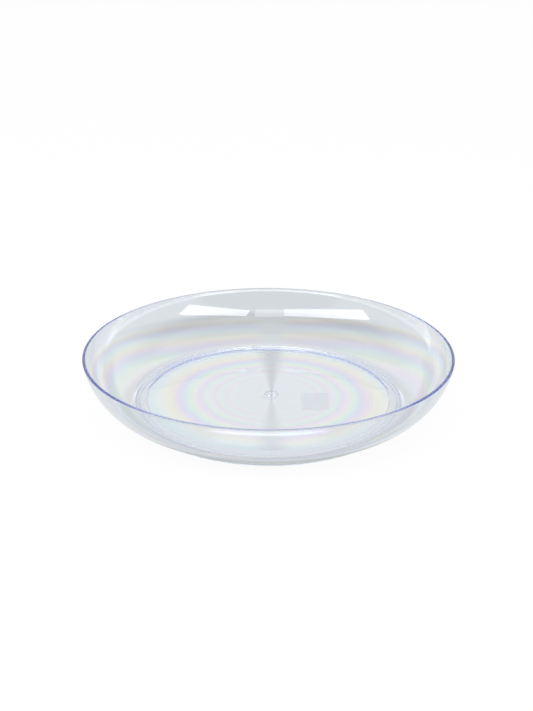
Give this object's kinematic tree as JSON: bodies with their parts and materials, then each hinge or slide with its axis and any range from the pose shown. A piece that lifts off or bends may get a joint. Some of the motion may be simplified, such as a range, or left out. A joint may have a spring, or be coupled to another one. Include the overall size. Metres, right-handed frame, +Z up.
{
  "type": "plant saucer",
  "caption": "Round clear plastic saucer for under a plant pot: shallow bowl with a curved wall, half-round rim, flat sunk floor and a foot ring below.",
  "frame": {"origin": "on the table, at the middle of the foot ring", "axes": "+Z up along the axis of the bowl, towards its open mouth; +Y away from the picture's viewer, +X to the right"},
  "size_m": [0.25, 0.25, 0.042],
  "materials": {
    "clear_plastic": "clear polished polystyrene with a faint blue tint, glossy, with pale rainbow bands of moulding stress"
  },
  "bodies": {
    "root": {"saucer": "clear_plastic"}
  },
  "joints": []
}
